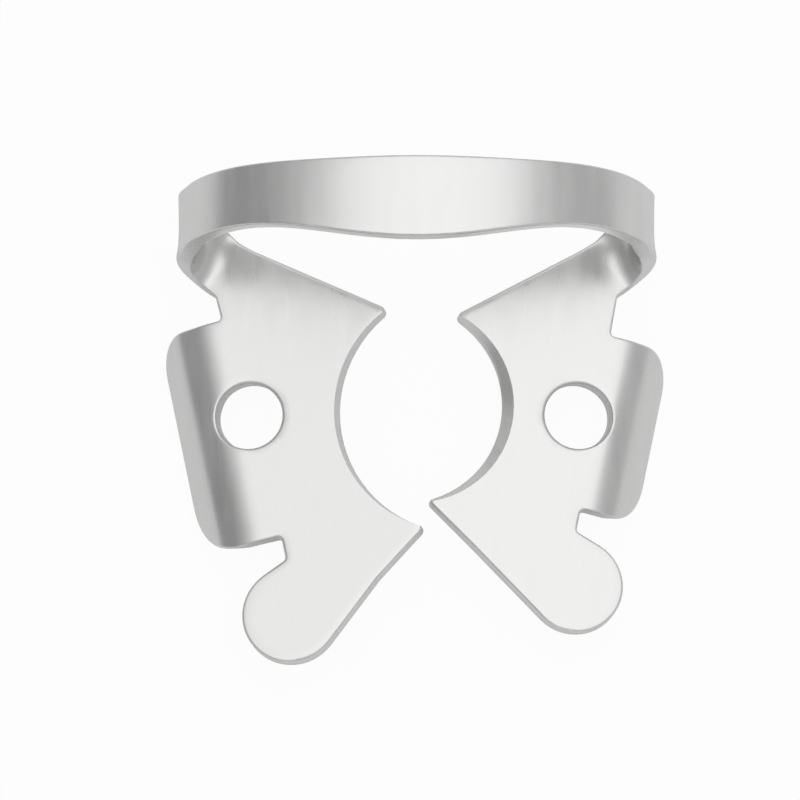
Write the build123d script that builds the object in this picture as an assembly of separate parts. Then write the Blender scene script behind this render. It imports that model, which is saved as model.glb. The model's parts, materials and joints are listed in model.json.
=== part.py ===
from build123d import *
from dataclasses import dataclass
from math import cos, pi, radians, sin, tan
import os

# A rubber dam clamp, pressed, bent and polished from one piece of spring steel sheet.
# Two jaws grip a molar, one on each side, and a strap arches over behind the tooth and joins them.
# All sizes are in millimetres. X runs across the tooth, +Y points to the back of the mouth, +Z up.

# the sheet, its rounded edges and its rounded corners
sheet = 0.8
edge_round = 0.14
sharp_angle = 25.0
prong_round = 0.22
notch_round = 0.19

# how the jaws stand to each other: each rises towards the tooth and is turned in at the front
hole_spacing = 13.65
jaw_rise = 8.0
jaw_toe_in = 11.5

# the forceps holes, punched where the sheet starts to bend down
hole_diameter = 2.8
hole_lean = 10.0

# the wings at the sides, bent down until their edges are this far below the forceps holes
wing_drop = 2.0
wing_slope = 46.0

# the edge that touches the tooth: a narrow land under a ground bevel
bite_land = 0.2

# the left jaw in its own flat plane, from the hole: U towards the tooth, V towards the back
left_back_prong = (6.66, 3.13)
left_front_prong = (6.3, -6.33)
left_bite_depth = 2.9
left_bite_bevel = 15.0
left_leg_corner = (-0.41, 5.37)
left_back_notch = -0.36
left_front_notch = 0.25
left_wing_root = 0.6
left_wing_bend = 2.1
left_wing_back = 4.31
left_wing_front = 5.38
left_wing_back_corner = 1.6
left_wing_front_corner = 2.4
left_tongue_end = (-0.02, -8.72)
left_tongue_radius = 2.05
left_tongue_root = (2.97, -6.85)
left_tongue_neck = 1.5

# the right jaw, measured the same way round
right_back_prong = (5.94, 3.02)
right_front_prong = (5.53, -4.95)
right_bite_depth = 2.69
right_bite_bevel = 35.0
right_leg_corner = (-0.65, 5.44)
right_back_notch = -0.7
right_front_notch = -0.95
right_wing_root = 1.2
right_wing_bend = 1.3
right_wing_back = 3.71
right_wing_front = 3.88
right_wing_back_corner = 1.6
right_wing_front_corner = 1.9
right_tongue_end = (-1.39, -7.12)
right_tongue_radius = 2.0
right_tongue_root = (2.38, -5.26)
right_tongue_neck = 1.45

# the strap that joins the jaws: its widths, its legs and its arch
root_width = 2.46
leg_width = 2.55
crown_width = 3.48
leg_turn = 47.0
leg_ease = 0.4
shoulder_overhang = 1.58
shoulder_height = 2.4
crown_height = 8.4
shoulder_back = 7.7
shoulder_bulge = 0.34
crown_shift = -0.35
leg_stub = 0.35
crown_taper = 8
leg_steps = 5
arch_steps = 16
arch_probe = 0.001


@dataclass
class Jaw:
    """The sizes of one jaw in its flat plane."""

    back_prong: tuple
    front_prong: tuple
    bite_depth: float
    bite_bevel: float
    leg_corner: tuple
    back_notch: float
    front_notch: float
    wing_root: float
    wing_bend: float
    wing_back: float
    wing_front: float
    wing_corners: tuple
    tongue_end: tuple
    tongue_radius: float
    tongue_root: tuple
    tongue_neck: float


left = Jaw(
    back_prong=left_back_prong,
    front_prong=left_front_prong,
    bite_depth=left_bite_depth,
    bite_bevel=left_bite_bevel,
    leg_corner=left_leg_corner,
    back_notch=left_back_notch,
    front_notch=left_front_notch,
    wing_root=left_wing_root,
    wing_bend=left_wing_bend,
    wing_back=left_wing_back,
    wing_front=left_wing_front,
    wing_corners=(left_wing_back_corner, left_wing_front_corner),
    tongue_end=left_tongue_end,
    tongue_radius=left_tongue_radius,
    tongue_root=left_tongue_root,
    tongue_neck=left_tongue_neck,
)
right = Jaw(
    back_prong=right_back_prong,
    front_prong=right_front_prong,
    bite_depth=right_bite_depth,
    bite_bevel=right_bite_bevel,
    leg_corner=right_leg_corner,
    back_notch=right_back_notch,
    front_notch=right_front_notch,
    wing_root=right_wing_root,
    wing_bend=right_wing_bend,
    wing_back=right_wing_back,
    wing_front=right_wing_front,
    wing_corners=(right_wing_back_corner, right_wing_front_corner),
    tongue_end=right_tongue_end,
    tongue_radius=right_tongue_radius,
    tongue_root=right_tongue_root,
    tongue_neck=right_tongue_neck,
)


def jaw_plane():
    """The flat plane of the left jaw: X towards the tooth, Y towards the back, Z its upper side."""
    toe = radians(jaw_toe_in)
    rise = radians(jaw_rise)
    inward = Vector(cos(toe), sin(toe), 0)
    back = Vector(-sin(toe), cos(toe), 0)
    along = inward * cos(rise) + Vector(0, 0, 1) * sin(rise)
    return Plane(origin=(-hole_spacing / 2, 0, 0), x_dir=along, z_dir=along.cross(back))


def nearest(shapes, point):
    """The one of several shapes whose middle is nearest to a point."""
    return min(shapes, key=lambda shape: (shape.center() - Vector(*point)).length)


def leg_out():
    """The way the leg leaves the jaw, in the jaw's plane."""
    return Vector(-cos(radians(leg_turn)), sin(radians(leg_turn)))


def leg_across():
    """The way across the leg, from its front edge to its rear edge, in the jaw's plane."""
    return Vector(sin(radians(leg_turn)), cos(radians(leg_turn)))


def leg_end(jaw):
    """The middle of the straight end of a jaw's leg, where the strap goes on from it."""
    return Vector(*jaw.leg_corner) + leg_across() * (root_width / 2) + leg_out() * leg_stub


def bite_radius(jaw):
    """The radius of the arc through both prongs that is as deep as the bite."""
    half_chord = (Vector(*jaw.back_prong) - Vector(*jaw.front_prong)).length / 2
    return (jaw.bite_depth**2 + half_chord**2) / (2 * jaw.bite_depth)


def bite_centre(jaw):
    """The centre of the arc through both prongs, on the tooth's side."""
    back = Vector(*jaw.back_prong)
    front = Vector(*jaw.front_prong)
    chord = back - front
    to_tooth = Vector(chord.Y, -chord.X).normalized()
    return (back + front) / 2 + to_tooth * (bite_radius(jaw) - jaw.bite_depth)


def outline(jaw):
    """The flat part of a jaw, with its tongue at the front and the round bite between two prongs."""
    leg_front = Vector(*jaw.leg_corner)
    leg_rear = leg_front + leg_across() * root_width
    stub = leg_out() * leg_stub
    plate = Polyline(
        jaw.front_prong,
        jaw.tongue_root,
        (jaw.front_notch, -jaw.wing_front - jaw.tongue_neck),
        (jaw.front_notch, -jaw.wing_front),
        (-jaw.wing_root, -jaw.wing_front),
        (-jaw.wing_root, jaw.wing_back),
        (jaw.back_notch, jaw.wing_back),
        leg_front,
        leg_front + stub,
        leg_rear + stub,
        leg_rear,
        jaw.back_prong,
        close=True,
    )
    neck = Pos(*jaw.tongue_root) * Circle(jaw.tongue_neck)
    tip = Pos(*jaw.tongue_end) * Circle(jaw.tongue_radius)
    tongue = make_hull([*neck.edges(), *tip.edges()])
    web = make_hull([*neck.edges(), Line(jaw.tongue_root, jaw.front_prong)])
    centre = bite_centre(jaw)
    bite = Pos(centre.X, centre.Y) * Circle(bite_radius(jaw))
    flat = make_face(plate) + tongue + web - bite
    corners = flat.vertices()
    notches = [nearest(corners, (jaw.back_notch, jaw.wing_back))]
    notches += corners.filter_by(lambda corner: abs(corner.X - jaw.front_notch) < edge_round / 10)
    return fillet(notches, notch_round)


def wing_profile(jaw):
    """The section of a wing across its bend, from inside the plate to its outer edge."""
    start = radians(jaw_rise)
    end = radians(jaw_rise + wing_slope)
    root_drop = jaw.wing_root * sin(start)
    bend_drop = jaw.wing_bend * (cos(start) - cos(end))
    flange = (wing_drop - root_drop - bend_drop) / sin(end)
    lap = Line((0, 0), (-jaw.wing_root, 0))
    bend = JernArc(lap @ 1, (-1, 0), jaw.wing_bend, wing_slope)
    edge = Line(bend @ 1, (bend @ 1) + (bend % 1) * flange)
    return [lap, bend, edge]


def wing(jaw):
    """A wing: sheet bent down along the side of the jaw, with its two outer corners rounded."""
    path = wing_profile(jaw)
    length = jaw.wing_back + jaw.wing_front
    section = Plane.XZ.offset(-jaw.wing_back) * trace(path, sheet)
    bent = extrude(section, length)
    tip = path[-1] @ 1
    downhill = path[-1] % 1
    uphill = Vector(-downhill.X, 0, -downhill.Y)
    edge_plane = Plane(origin=(tip.X, 0, tip.Y), x_dir=uphill, z_dir=uphill.cross(Vector(0, 1, 0)))
    inside = (tip - path[0] @ 0).dot(downhill) + sheet
    corners = [(0, jaw.wing_back), (0, -jaw.wing_front)]
    sides = Polyline(*corners, (inside, -jaw.wing_front), (inside, jaw.wing_back), close=True)
    blank = make_face(sides)
    for corner, radius in zip(corners, jaw.wing_corners):
        blank = fillet(nearest(blank.vertices(), corner), radius)
    return bent & extrude(edge_plane * blank, inside, both=True)


def bite_cutter(jaw):
    """The leaning round cutter that grinds the bevel and leaves a narrow land at the underside."""
    centre = bite_centre(jaw)
    low = bite_land - sheet / 2
    lean = (sheet - low) * tan(radians(jaw.bite_bevel))
    foot = Pos(centre.X, centre.Y, low) * Circle(bite_radius(jaw))
    head = Pos(centre.X - lean, centre.Y, sheet) * Circle(bite_radius(jaw))
    return loft([foot, head])


def sharp_edges(solid):
    """The edges where two faces meet at a clear angle."""
    sharp = []
    faces = solid.faces()
    for edge in solid.edges():
        middle = edge @ 0.5
        sides = [face.normal_at(middle) for face in faces if edge in face.edges()]
        if len(sides) == 2 and sides[0].get_angle(sides[1]) > sharp_angle:
            sharp.append(edge)
    return sharp


def jaw_solid(jaw):
    """One jaw in its own plane: plate and wing, pierced, tumbled to round its edges, then ground."""
    body = extrude(outline(jaw), sheet / 2, both=True) + wing(jaw)
    prongs = [nearest(body.edges(), (*tip, 0)) for tip in (jaw.back_prong, jaw.front_prong)]
    body = fillet(prongs, prong_round)
    hole = Rot(0, -hole_lean, 0) * Cylinder(hole_diameter / 2, 6 * sheet)
    body = body - hole
    leg_face = nearest(body.faces(), leg_end(jaw))
    tumbled = [edge for edge in sharp_edges(body) if edge not in leg_face.edges()]
    return fillet(tumbled, edge_round) - bite_cutter(jaw)


def in_space(jaw, side, along, across=0.0):
    """A place in the jaw's plane as a place in space, on the left (-1) or the right (1) side."""
    flat = jaw_plane().from_local_coords(Vector(along, across, 0))
    return Vector(-side * flat.X, flat.Y, flat.Z)


def turned(direction, side):
    """A direction in the jaw's plane as a direction in space, on the left or the right side."""
    plane = jaw_plane()
    flat = plane.x_dir * direction.X + plane.y_dir * direction.Y
    return Vector(-side * flat.X, flat.Y, flat.Z)


def leg_place(jaw, side):
    """The middle of the end of one jaw's leg in space."""
    end = leg_end(jaw)
    return in_space(jaw, side, end.X, end.Y)


def shoulder(jaw, side):
    """Where the leg on one side turns into the arch, a little outside the leg's own end."""
    outside = leg_place(jaw, side).X + side * shoulder_overhang
    return Vector(outside, shoulder_back, shoulder_height)


def leg(jaw, side):
    """Stations up one leg, from its jaw to the shoulder: place, travel, across and width."""
    out = turned(leg_out(), side)
    across = turned(leg_across(), side)
    root = leg_place(jaw, side)
    top = shoulder(jaw, side)
    ease = (top - root).length * leg_ease
    route = Bezier(root, root + out * ease, top - Vector(0, 0, ease), top)
    stations = [(root, out, across, root_width)]
    for step in range(1, leg_steps):
        part = step / leg_steps
        turning = across * (1 - part) + Vector(0, 1, 0) * part
        width = root_width + (leg_width - root_width) * part
        stations.append((route @ part, route % part, turning, width))
    return stations


def arch_point(angle):
    """A place on the arch's middle line: zero at the left shoulder, half a turn at the right one."""
    start = shoulder(left, -1)
    end = shoulder(right, 1)
    back = crown_shift * sin(angle) ** 2 + shoulder_bulge * sin(2 * angle) ** 2
    rise = (crown_height - shoulder_height) * sin(angle)
    return (start + end) / 2 - (end - start) / 2 * cos(angle) + Vector(0, back, rise)


def arch():
    """Stations over the arch, from the left shoulder across the crown to the right shoulder."""
    stations = []
    for step in range(arch_steps + 1):
        angle = pi * step / arch_steps
        travel = (arch_point(angle + arch_probe) - arch_point(angle - arch_probe)).normalized()
        width = leg_width + (crown_width - leg_width) * sin(angle) ** crown_taper
        stations.append((arch_point(angle), travel, Vector(0, 1, 0), width))
    return stations


def strap():
    """The strap: up the left leg, over the arch and down the right leg in one smooth sweep."""
    down = [(place, -travel, across, width) for place, travel, across, width in reversed(leg(right, 1))]
    sections = []
    for place, travel, across, width in [*leg(left, -1), *arch(), *down]:
        sideways = across - travel * across.dot(travel)
        plane = Plane(origin=place, x_dir=sideways, z_dir=travel)
        sections.append(plane * RectangleRounded(width, sheet, edge_round))
    return loft(sections)


def clamp():
    """The whole clamp on its wings, its origin under the middle of its box."""
    place = jaw_plane()
    right_jaw = mirror(place * jaw_solid(right), about=Plane.YZ)
    body = place * jaw_solid(left) + right_jaw + strap()
    box = body.bounding_box()
    middle = box.center()
    return Pos(-middle.X, -middle.Y, -box.min.Z) * body


os.makedirs("parts", exist_ok=True)
shape = clamp()
shape.label = "clamp"
export_step(shape, "parts/clamp.step")
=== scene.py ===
# %% [markdown]
# # A rubber dam clamp
# A dentist's clamp is one strip of spring steel: pressed, bent, ground at the bite and tumbled
# until every edge is round and bright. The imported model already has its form, so this script
# dresses it: wings bowed by a hair, smooth normals, a steel that is polished but not perfect,
# a pale table, soft studio light and the camera of the photograph.

# %% Load the frame
import json
import math

import bmesh
import bpy
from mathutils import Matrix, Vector, kdtree

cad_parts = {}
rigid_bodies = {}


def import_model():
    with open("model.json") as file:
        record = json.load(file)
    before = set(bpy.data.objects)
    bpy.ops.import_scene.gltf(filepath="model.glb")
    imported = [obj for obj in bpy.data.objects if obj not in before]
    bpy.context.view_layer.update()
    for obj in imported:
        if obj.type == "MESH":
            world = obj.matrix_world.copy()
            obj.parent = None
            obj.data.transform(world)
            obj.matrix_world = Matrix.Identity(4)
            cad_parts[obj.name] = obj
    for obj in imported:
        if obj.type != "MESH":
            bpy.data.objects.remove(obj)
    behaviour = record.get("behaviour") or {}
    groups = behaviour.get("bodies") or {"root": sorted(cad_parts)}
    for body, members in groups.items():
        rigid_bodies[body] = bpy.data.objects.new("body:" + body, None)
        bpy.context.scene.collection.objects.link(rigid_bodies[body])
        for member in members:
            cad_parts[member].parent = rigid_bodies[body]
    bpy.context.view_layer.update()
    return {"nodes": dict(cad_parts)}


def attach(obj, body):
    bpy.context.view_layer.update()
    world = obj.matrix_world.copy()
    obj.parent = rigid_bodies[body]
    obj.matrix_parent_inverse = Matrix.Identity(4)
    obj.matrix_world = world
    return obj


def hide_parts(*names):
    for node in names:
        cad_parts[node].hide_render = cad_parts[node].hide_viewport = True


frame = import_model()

# millimetres in a metre: Blender works in metres, and a clamp is measured in millimetres
MM = 1000

# %% [markdown]
# ## The steel body
# On the real clamp the jaws, the wings and the strap are one sheet, so here they are one mesh.
# It could be modelled again from a plane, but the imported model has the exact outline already.
# Its mesh is loose triangles, so a copy is merged into one skin, and that copy is what the
# camera sees. The node itself is left alone, as the physics needs it.

# %% Copy the node and merge the copy
MERGE = 0.000001
cad = frame["nodes"]["clamp"]
body = bpy.data.objects.new("steel_body", cad.data.copy())
bpy.context.scene.collection.objects.link(body)
bpy.ops.object.select_all(action="DESELECT")
bpy.context.view_layer.objects.active = body
body.select_set(True)
bpy.ops.object.mode_set(mode="EDIT")
bpy.ops.mesh.select_all(action="SELECT")
bpy.ops.mesh.remove_doubles(threshold=MERGE)
bpy.ops.object.mode_set(mode="OBJECT")
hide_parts("clamp")
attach(body, "root")
print("steel body:", len(body.data.vertices), "vertices,", len(body.data.polygons), "faces")

# %% [markdown]
# ## A finer skin
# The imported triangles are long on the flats, and a long triangle can't carry a soft change of
# shade. A Subdivision Surface modifier would add corners too, but it would also shrink the
# crisp rims. So only the edges that are longer than a third of a millimetre are halved, round
# after round. That leaves the form as it is and gives the next steps enough corners.

# %% Cut the long triangles
LONGEST = 0.00034
ROUNDS = 7
mesh = bmesh.new()
mesh.from_mesh(body.data)
for _ in range(ROUNDS):
    long_edges = [edge for edge in mesh.edges if edge.calc_length() > LONGEST]
    if not long_edges:
        break
    bmesh.ops.subdivide_edges(mesh, edges=long_edges, cuts=1, use_grid_fill=False)
    bmesh.ops.triangulate(mesh, faces=[face for face in mesh.faces if len(face.verts) > 3])
print("after cutting:", len(mesh.verts), "vertices,", len(mesh.faces), "faces")

# %% [markdown]
# ## Bowed wings
# A wing that a press has wiped down over a die is never quite flat: between its bend and its
# rim it bulges a little. A lattice could push it out, but the bulge is only a tenth of a
# millimetre, and a formula keeps it smooth. It spreads the dark reflection over the wing, as
# the photograph shows. Each corner is first placed in its jaw, which is turned in a little at
# the front, and is then moved square to the wing. The rim stays put.

# %% Places in a jaw, in millimetres
JAW_TURN = math.radians(11.5)
JAW_MIDDLE = (-0.0536, 0.716, 2.18)
JAW_HOLE = 6.825


def in_jaw(point):
    """Millimetres outward from a jaw's hole and back along the jaw, seen from above."""
    inward = JAW_HOLE - abs(point.x * MM - JAW_MIDDLE[0])
    back = point.y * MM - JAW_MIDDLE[1]
    outward = -inward * math.cos(JAW_TURN) - back * math.sin(JAW_TURN)
    along = -inward * math.sin(JAW_TURN) + back * math.cos(JAW_TURN)
    return outward, along


print("hole to hole:", 2 * JAW_HOLE, "mm")

# %% Bow the wings
BULGE = 0.10
SLOPE = math.radians(54)
WING_BACK = 4.8
WINGS = {
    # side: where the bulge starts and ends down the slope, and how far forward the wing goes
    -1: (1.10, 3.25, -5.7),
    1: (1.26, 3.39, -4.4),
}
bowed = 0
for vertex in mesh.verts:
    side = -1 if vertex.co.x < 0 else 1
    start, end, front = WINGS[side]
    outward, along = in_jaw(vertex.co)
    drop = JAW_MIDDLE[2] - vertex.co.z * MM
    part = (outward * math.cos(SLOPE) + drop * math.sin(SLOPE) - start) / (end - start)
    if 0 < part < 1 and front < along < WING_BACK and drop > 0:
        bulge = BULGE / MM * 4 * part * (1 - part)
        vertex.co += Vector((side * math.sin(SLOPE), 0, math.cos(SLOPE))) * bulge
        bowed += 1
print("corners bowed on the wings:", bowed)

# %% [markdown]
# ## Feet of the strap
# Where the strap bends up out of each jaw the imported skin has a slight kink, which the steel
# would show as a dark nick. On the real clamp the tumbling drum has rolled it out. Sculpting
# would need a hand, so the corners there are moved a little towards the middle of their
# neighbours, eight times over, and less and less towards the rim of that region.

# %% Settle the feet
FOOT = (-0.15, 6.5)
FOOT_SIZE = 2.0
FOOT_TOP = 0.0045
FOOT_ROUNDS = 8
SETTLE = 0.5
for _ in range(FOOT_ROUNDS):
    settled = []
    for vertex in mesh.verts:
        outward, along = in_jaw(vertex.co)
        gap = math.hypot(outward - FOOT[0], along - FOOT[1])
        if gap < FOOT_SIZE and vertex.co.z < FOOT_TOP:
            around = [edge.other_vert(vertex).co for edge in vertex.link_edges]
            middle = sum(around, Vector()) / len(around)
            settled.append((vertex, vertex.co.lerp(middle, SETTLE * min(1.0, FOOT_SIZE - gap))))
    for vertex, moved in settled:
        vertex.co = moved
mesh.normal_update()
print("corners settled at the feet:", len(settled))

# %% [markdown]
# ## Normals for tumbled metal
# On polished steel every slip of a normal shows as a dent, and a press leaves no sharp change
# from flat to round. Plain smooth shading would take in each neighbour alike, large or small,
# and smear the rims. So each corner looks around itself and takes the mean normal of the faces
# nearby that point much the same way. On the flats it looks only a quarter of a millimetre, so
# that the tumbled rims stay crisp. On the wings, at the feet of the strap and up the strap it
# looks further, which eases the bends into each other. The rim of the ground bite is a real
# crease and stays.

# %% How far a corner looks
FLAT_REACH = 0.00025
WING_REACH = 0.00030
FOOT_REACH = 0.00050
STRAP_REACH = 0.00035


def ramp(low, high, value):
    """Zero at low, one at high, eased in between and level beyond."""
    part = min(1.0, max(0.0, (value - low) / (high - low)))
    return part * part * (3 - 2 * part)


def reach(point):
    """How far, in metres, a corner looks around itself for its normal."""
    outward, along = in_jaw(point)
    slantwise = 0.7 * MM * (abs(point.x) + point.y)
    # limits in millimetres: out from the hole and back along the jaw, then slantwise, then up
    wing = ramp(0.1, 0.9, outward) * ramp(5.2, 4.6, along)
    foot = ramp(8.6, 9.6, slantwise)
    strap = ramp(3.0, 5.0, MM * point.z)
    return FLAT_REACH + WING_REACH * wing + FOOT_REACH * foot * (1 - wing) + STRAP_REACH * strap


print("reach on the crown in mm:", round(reach(Vector((0, 0.009, 0.01))) * MM, 2))


# %% Which corners belong together
def fans(vertex, crease):
    """The corners round a vertex, in groups that meet without a crease between them."""
    left_over = list(vertex.link_loops)
    groups = []
    while left_over:
        group = [left_over.pop()]
        for loop in group:
            for edge in (loop.edge, loop.link_loop_prev.edge):
                for face in edge.link_faces:
                    if face.normal.angle(loop.face.normal, 0.0) > crease:
                        continue
                    group.extend(other for other in left_over if other.face == face)
                    left_over = [other for other in left_over if other.face != face]
        groups.append(group)
    return groups


# %% [markdown]
# ## Lumps of faces
# A search for every face around every corner would take minutes. Faces in the same tenth of a
# millimetre that point much the same way say the same thing, so they are gathered into one lump
# first, and the search only meets the lumps.

# %% Gather the faces in lumps
LUMP = 0.0001
DIRECTION_STEPS = 4
lumps = {}
for face in mesh.faces:
    middle, normal, area = face.calc_center_median(), face.normal, face.calc_area()
    cell = (round(value / LUMP) for value in middle)
    heading = (round(value * DIRECTION_STEPS) for value in normal)
    lump = lumps.setdefault((*cell, *heading), [Vector(), Vector(), 0.0])
    lump[0] += middle * area
    lump[1] += normal * area
    lump[2] += area
lumps = [lump for lump in lumps.values() if lump[1].length > 0]
lump_tree = kdtree.KDTree(len(lumps))
for index, (middle, _, area) in enumerate(lumps):
    lump_tree.insert(middle / area, index)
lump_tree.balance()
pushes = [(normal.normalized(), normal) for _, normal, _ in lumps]
print("lumps:", len(lumps))

# %% Work out the normals
CREASE = math.radians(32)
SAME_WAY = math.cos(math.radians(45))
soft = {}
for vertex in mesh.verts:
    radius = reach(vertex.co)
    nearby = []
    for _, index, gap in lump_tree.find_range(vertex.co, radius):
        nearby.append((index, (1 - (gap / radius) ** 2) ** 2))
    for group in fans(vertex, CREASE):
        own = sum((loop.face.normal * loop.calc_angle() for loop in group), Vector()).normalized()
        # a corner with nothing like it nearby keeps its own direction
        total = own * 1e-9
        for index, closeness in nearby:
            direction, push = pushes[index]
            likeness = direction.dot(own) - SAME_WAY
            if likeness > 0:
                total = total + push * (closeness * likeness)
        total.normalize()
        for loop in group:
            soft[loop] = tuple(total)
corner_normals = [soft[loop] for face in mesh.faces for loop in face.loops]
mesh.to_mesh(body.data)
mesh.free()
body.data.shade_smooth()
body.data.normals_split_custom_set(corner_normals)
print("corners with a normal:", len(corner_normals))

# %% [markdown]
# ## Tumbled spring steel
# The real finish comes from a drum of ceramic stones. It leaves three marks, one inside the
# other: a faint waviness from the rolling, a fine grain of polishing lines along the jaws and
# across the strap, and a few tiny pits. Photographs of metal could be laid over it, but they
# would need a flat map of a bent part. Noise in the object's own space fits every bend, so each
# mark is a node group that works in millimetres.


# %% Helpers for node groups
def start_group(name, inputs, outputs):
    """A new shader node group with number inputs and number outputs."""
    group = bpy.data.node_groups.new(name, "ShaderNodeTree")
    for label, default in inputs:
        socket = group.interface.new_socket(name=label, in_out="INPUT", socket_type="NodeSocketFloat")
        socket.default_value = default
    for label in outputs:
        group.interface.new_socket(name=label, in_out="OUTPUT", socket_type="NodeSocketFloat")
    return group, group.nodes.new("NodeGroupInput"), group.nodes.new("NodeGroupOutput")


def math_node(node_tree, operation, first, second):
    """A maths node whose two sides are each a socket or a number."""
    node = node_tree.nodes.new("ShaderNodeMath")
    node.operation = operation
    for socket, value in zip(node.inputs, (first, second)):
        if isinstance(value, bpy.types.NodeSocket):
            node_tree.links.new(value, socket)
        else:
            socket.default_value = value
    return node.outputs[0]


def millimetres(node_tree, stretch):
    """Object coordinates in millimetres, each axis multiplied by its stretch."""
    coordinates = node_tree.nodes.new("ShaderNodeTexCoord")
    mapping = node_tree.nodes.new("ShaderNodeMapping")
    mapping.inputs["Scale"].default_value = [MM * factor for factor in stretch]
    node_tree.links.new(coordinates.outputs["Object"], mapping.inputs["Vector"])
    return mapping.outputs["Vector"]


def noise(node_tree, vector, scale, detail, roughness=0.5):
    """A noise texture's value over a vector."""
    node = node_tree.nodes.new("ShaderNodeTexNoise")
    node.inputs["Scale"].default_value = scale
    node.inputs["Detail"].default_value = detail
    node.inputs["Roughness"].default_value = roughness
    node_tree.links.new(vector, node.inputs["Vector"])
    return node.outputs["Fac"]


# %% Waviness, grain and pits
def waviness_group():
    """Shallow hollows left by the rolling stones."""
    group, _, out = start_group("tumbled waviness", [], ["Height"])
    value = noise(group, millimetres(group, (1, 1, 1)), 0.55, 1.5)
    group.links.new(value, out.inputs["Height"])
    return group


def grain_group():
    """Polishing lines from front to back: fine ones for the height, broad ones for the tone."""
    group, _, out = start_group("polishing grain", [], ["Height", "Tone"])
    fine = noise(group, millimetres(group, (16, 0.9, 5)), 1.0, 3, 0.6)
    broad = noise(group, millimetres(group, (1.6, 0.22, 0.8)), 1.0, 2)
    group.links.new(fine, out.inputs["Height"])
    group.links.new(broad, out.inputs["Tone"])
    return group


def pits_group():
    """Rare tiny pits, each a small round spot."""
    group, inputs, out = start_group("tiny pits", [("Size", 0.03)], ["Mask"])
    cells = group.nodes.new("ShaderNodeTexVoronoi")
    cells.inputs["Scale"].default_value = 0.55
    group.links.new(millimetres(group, (1, 1, 1)), cells.inputs["Vector"])
    spot = math_node(group, "LESS_THAN", cells.outputs["Distance"], inputs.outputs["Size"])
    patches = noise(group, millimetres(group, (1, 1, 1)), 0.35, 0)
    here = math_node(group, "GREATER_THAN", patches, 0.55)
    group.links.new(math_node(group, "MULTIPLY", spot, here), out.inputs["Mask"])
    return group


waviness = waviness_group()
grain = grain_group()
pits = pits_group()
print("node groups:", [group.name for group in (waviness, grain, pits)])

# %% [markdown]
# ## One metal from the three marks
# The tone and the roughness of tumbled steel drift a little with the grain, the pits are duller
# than the polish round them, and the hollows bend the reflections by a degree at most. One flat
# grey would look like plastic, so a fully metallic shader takes its colour from two close
# greys. The heights are real ones in metres: seven thousandths of a millimetre for the waviness
# and under one thousandth for the grain.

# %% Place the marks in the steel
PIT_SIZE = 0.03
steel = bpy.data.materials.new("tumbled spring steel")
steel.use_nodes = True
steel_tree = steel.node_tree
shader = steel_tree.nodes["Principled BSDF"]
shader.inputs["Metallic"].default_value = 1.0


def place_group(group):
    """A node that shows a group in the steel."""
    node = steel_tree.nodes.new("ShaderNodeGroup")
    node.node_tree = group
    return node


wave_node = place_group(waviness)
grain_node = place_group(grain)
pits_node = place_group(pits)
pits_node.inputs["Size"].default_value = PIT_SIZE
print("placed in the steel:", len(steel_tree.nodes), "nodes")

# %% Tone of the steel
DARKER_STEEL = (0.765, 0.765, 0.76, 1)
PALER_STEEL = (0.815, 0.815, 0.81, 1)
NOISE_LOW, NOISE_HIGH = 0.3, 0.7
tone = steel_tree.nodes.new("ShaderNodeMapRange")
tone.inputs["From Min"].default_value = NOISE_LOW
tone.inputs["From Max"].default_value = NOISE_HIGH
tone.inputs["To Min"].default_value = 0.0
tone.inputs["To Max"].default_value = 1.0
steel_tree.links.new(grain_node.outputs["Tone"], tone.inputs["Value"])
colour = steel_tree.nodes.new("ShaderNodeMix")
colour.data_type = "RGBA"
colour.inputs["A"].default_value = DARKER_STEEL
colour.inputs["B"].default_value = PALER_STEEL
steel_tree.links.new(tone.outputs["Result"], colour.inputs["Factor"])
steel_tree.links.new(colour.outputs["Result"], shader.inputs["Base Color"])
print("steel tones:", DARKER_STEEL[:3], "to", PALER_STEEL[:3])

# %% Polish of the steel
SMOOTHEST = 0.25
GRAIN_DULLS = 0.08
PITS_DULL = 0.3
polish = math_node(steel_tree, "MULTIPLY", tone.outputs["Result"], GRAIN_DULLS)
dull = math_node(steel_tree, "MULTIPLY", pits_node.outputs["Mask"], PITS_DULL)
base = math_node(steel_tree, "ADD", polish, SMOOTHEST)
steel_tree.links.new(math_node(steel_tree, "ADD", base, dull), shader.inputs["Roughness"])
print("roughness from", SMOOTHEST, "to", round(SMOOTHEST + GRAIN_DULLS + PITS_DULL, 2))

# %% Hollows and lines of the steel
WAVE_DEPTH = 0.0000070
GRAIN_DEPTH = 0.0000008
height = None
for value, depth in (
    (wave_node.outputs["Height"], WAVE_DEPTH),
    (grain_node.outputs["Height"], GRAIN_DEPTH),
):
    bump = steel_tree.nodes.new("ShaderNodeBump")
    bump.inputs["Strength"].default_value = 1.0
    bump.inputs["Distance"].default_value = depth
    steel_tree.links.new(value, bump.inputs["Height"])
    if height is not None:
        steel_tree.links.new(height, bump.inputs["Normal"])
    height = bump.outputs["Normal"]
steel_tree.links.new(height, shader.inputs["Normal"])

body.data.materials.clear()
body.data.materials.append(steel)
print("steel:", len(steel_tree.nodes), "nodes on", body.name)

# %% [markdown]
# ## The table
# The clamp lies on plain white paper. White could come from strong light, but that would burn
# the steel out. So the paper keeps a matt colour, which lights the steel from below, and most
# of what the camera sees of it glows evenly. The rest is the matt paper with the clamp's shadow.
# The steel mirrors a little of the glow too.

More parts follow.
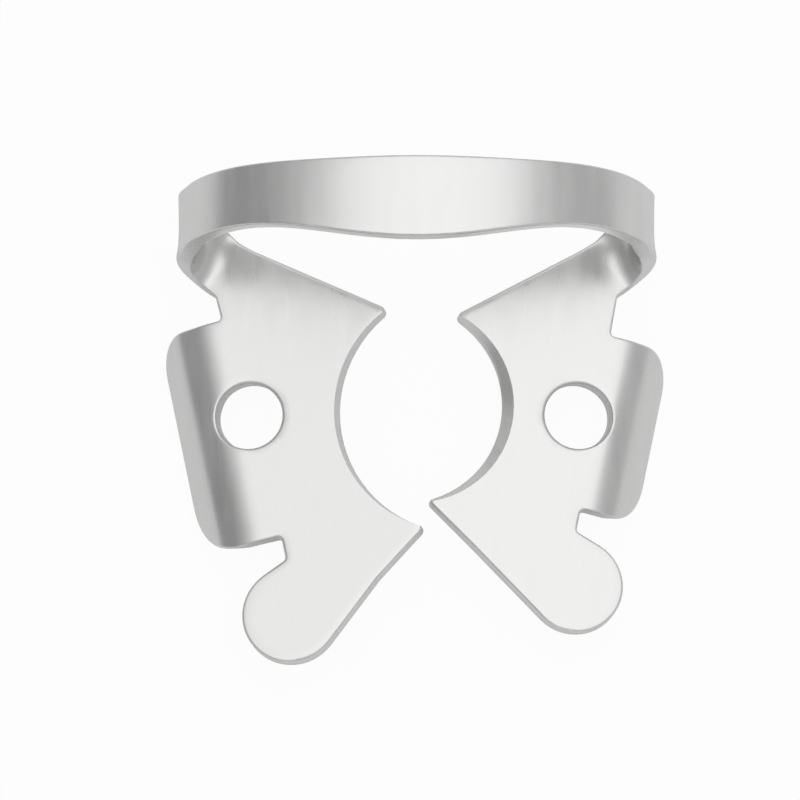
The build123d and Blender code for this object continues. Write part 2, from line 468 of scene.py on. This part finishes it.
# %% Floor
TABLE = 8
PAPER = (0.9, 0.9, 0.9, 1)
CAMERA_GLOW = 0.95
MIRROR_GLOW = 0.15
bpy.ops.mesh.primitive_plane_add(size=TABLE)
floor = bpy.context.object
floor.name = "floor"
paper = bpy.data.materials.new("white table")
paper.use_nodes = True
paper_tree = paper.node_tree
matt = paper_tree.nodes["Principled BSDF"]
matt.inputs["Base Color"].default_value = PAPER
matt.inputs["Roughness"].default_value = 1.0
matt.inputs["Specular IOR Level"].default_value = 0.0
glow = paper_tree.nodes.new("ShaderNodeEmission")
glow.inputs["Color"].default_value = (1, 1, 1, 1)
glow.inputs["Strength"].default_value = 1.0
rays = paper_tree.nodes.new("ShaderNodeLightPath")
straight, through = rays.outputs["Is Camera Ray"], rays.outputs["Is Transmission Ray"]
seen = math_node(paper_tree, "MAXIMUM", straight, through)
seen = math_node(paper_tree, "MULTIPLY", seen, CAMERA_GLOW)
mirrored = math_node(paper_tree, "MULTIPLY", rays.outputs["Is Glossy Ray"], MIRROR_GLOW)
blend = paper_tree.nodes.new("ShaderNodeMixShader")
paper_tree.links.new(math_node(paper_tree, "MAXIMUM", seen, mirrored), blend.inputs[0])
paper_tree.links.new(matt.outputs[0], blend.inputs[1])
paper_tree.links.new(glow.outputs[0], blend.inputs[2])
paper_tree.links.new(blend.outputs[0], paper_tree.nodes["Material Output"].inputs["Surface"])
floor.data.materials.append(paper)
print("table:", TABLE, "m of", paper.name)

# %% [markdown]
# ## Light
# A steel mirror shows its room, so the room is what draws this object. Many lamps would each
# leave a hard patch on the bends, so the room itself is a soft change of brightness instead.
# It is pale overhead and falls off to a darker horizon, which gives the dark bands on the bent
# wings and down the sides of the strap. The right side is a little brighter than the left, and
# the front and the back are brighter than both, so the steel stays pale when it is seen from
# low down. One soft panel hangs over the clamp: its reflection is the bright field on the jaws
# and on the crown, and it casts the faint shadow.

# %% The room's brightness by height
ROOM = (
    # height of the direction (0 is the horizon, 1 straight up), brightness
    (0.00, 0.38),
    (0.18, 0.27),
    (0.52, 0.28),
    (0.70, 0.47),
    (0.86, 0.74),
    (0.95, 0.82),
    (1.00, 0.84),
)
world = bpy.data.worlds.new("pale room")
bpy.context.scene.world = world
world.use_nodes = True
room = world.node_tree
directions = room.nodes.new("ShaderNodeTexCoord")
parts = room.nodes.new("ShaderNodeSeparateXYZ")
room.links.new(directions.outputs["Generated"], parts.inputs["Vector"])
fall = room.nodes.new("ShaderNodeValToRGB")
for index, (at, level) in enumerate(ROOM):
    stop = fall.color_ramp.elements[index] if index < 2 else fall.color_ramp.elements.new(at)
    stop.position = at
    stop.color = (level, level, level, 1)
fall.color_ramp.interpolation = "EASE"
room.links.new(parts.outputs["Z"], fall.inputs["Fac"])
print("room from", ROOM[0][1], "at the horizon to", ROOM[-1][1], "overhead")

# %% The room's brightness by side
LEFT_AND_RIGHT = 0.12
FRONT_AND_BACK = 0.26
RIGHT_ONLY = 0.10
brightness = fall.outputs["Color"]
for axis, both_ways in (("X", LEFT_AND_RIGHT), ("Y", FRONT_AND_BACK)):
    square = math_node(room, "MULTIPLY", parts.outputs[axis], parts.outputs[axis])
    brightness = math_node(room, "ADD", brightness, math_node(room, "MULTIPLY", square, both_ways))
to_the_right = math_node(room, "MULTIPLY", parts.outputs["X"], RIGHT_ONLY)
brightness = math_node(room, "ADD", brightness, to_the_right)
room.nodes["Background"].inputs["Color"].default_value = (1, 1, 1, 1)
room.links.new(brightness, room.nodes["Background"].inputs["Strength"])
print("room:", len(room.nodes), "nodes")


# %% The soft panel
def panel(name, place, width, depth, added):
    """A soft panel that faces the clamp and adds this brightness where the steel mirrors it."""
    data = bpy.data.lights.new(name, "AREA")
    data.shape = "RECTANGLE"
    data.size = width
    data.size_y = depth
    data.energy = added * math.pi * width * depth
    lamp = bpy.data.objects.new(name, data)
    bpy.context.scene.collection.objects.link(lamp)
    lamp.location = place
    lamp.rotation_euler = (-Vector(place)).to_track_quat("-Z", "Y").to_euler()
    return lamp


overhead = panel("overhead panel", place=(0.04, 0.13, 0.70), width=0.76, depth=0.94, added=0.30)
print(overhead.name, "at", round(overhead.data.energy, 2), "W")

# %% [markdown]
# ## The camera of the photograph
# The strap's top shows, the jaws lie open and near and far parts keep their scale, so the
# photograph was taken from well above with a long lens. A camera close by would match the
# middle but bend the rest. This one stands 14 degrees forward of straight down, 0.6 m away, and
# its lens is worked out from the size of one pixel on the clamp.

# %% Camera
PIXEL = 0.000042
FRAME = 800
DISTANCE = 0.6
SENSOR = 36
HOLES = Vector((-0.000054, 0.000716, 0.00218))
HOLES_RIGHT, HOLES_BELOW = 13.5, 17.5
ELEVATION = math.radians(76)
sight = Vector((0, -math.cos(ELEVATION), math.sin(ELEVATION)))
upwards = Vector((0, math.sin(ELEVATION), math.cos(ELEVATION)))
aim = HOLES + Vector((-HOLES_RIGHT * PIXEL, 0, 0)) + upwards * HOLES_BELOW * PIXEL
camera_data = bpy.data.cameras.new("camera")
camera_data.sensor_width = SENSOR
camera_data.lens = SENSOR * DISTANCE / (FRAME * PIXEL)
camera_data.clip_start = 0.01
camera = bpy.data.objects.new("camera", camera_data)
bpy.context.scene.collection.objects.link(camera)
camera.location = aim + sight * DISTANCE
camera.rotation_euler = (math.pi / 2 - ELEVATION, 0, 0)
bpy.context.scene.camera = camera
bpy.context.scene.view_settings.view_transform = "Standard"
print("lens:", round(camera_data.lens), "mm")
